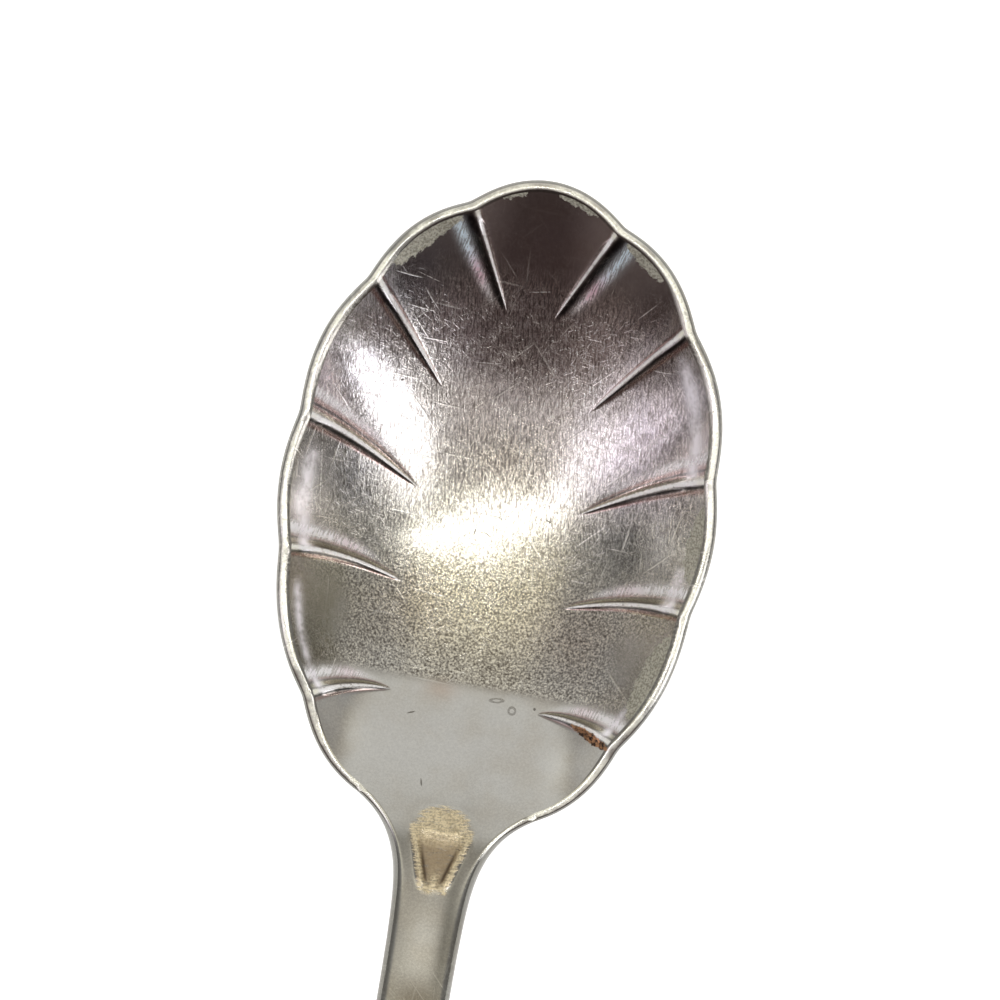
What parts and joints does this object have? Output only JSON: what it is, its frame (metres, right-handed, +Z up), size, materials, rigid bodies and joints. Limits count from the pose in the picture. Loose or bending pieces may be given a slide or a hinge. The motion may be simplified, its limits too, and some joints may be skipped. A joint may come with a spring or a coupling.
{
  "type": "sugar spoon",
  "caption": "Sugar spoon with a deep lobed shell bowl, short raised ridges inside the rim, a struck tongue at the neck and an arched stem that widens to a plain rounded handle",
  "frame": {"origin": "middle of the small flat worn under the bowl, on the table", "axes": "+Y along the spoon to the front of the bowl, +X across, +Z up out of the bowl"},
  "size_m": [0.0354, 0.1519, 0.0195],
  "materials": {
    "silver_plate": "old silver plate, polished but dulled by fine scratches and tarnish",
    "worn_plate": "plate worn through to grainy pale brass"
  },
  "bodies": {
    "root": {"bowl": "silver_plate", "neck": "worn_plate", "stem": "silver_plate", "handle": "silver_plate"}
  },
  "joints": []
}
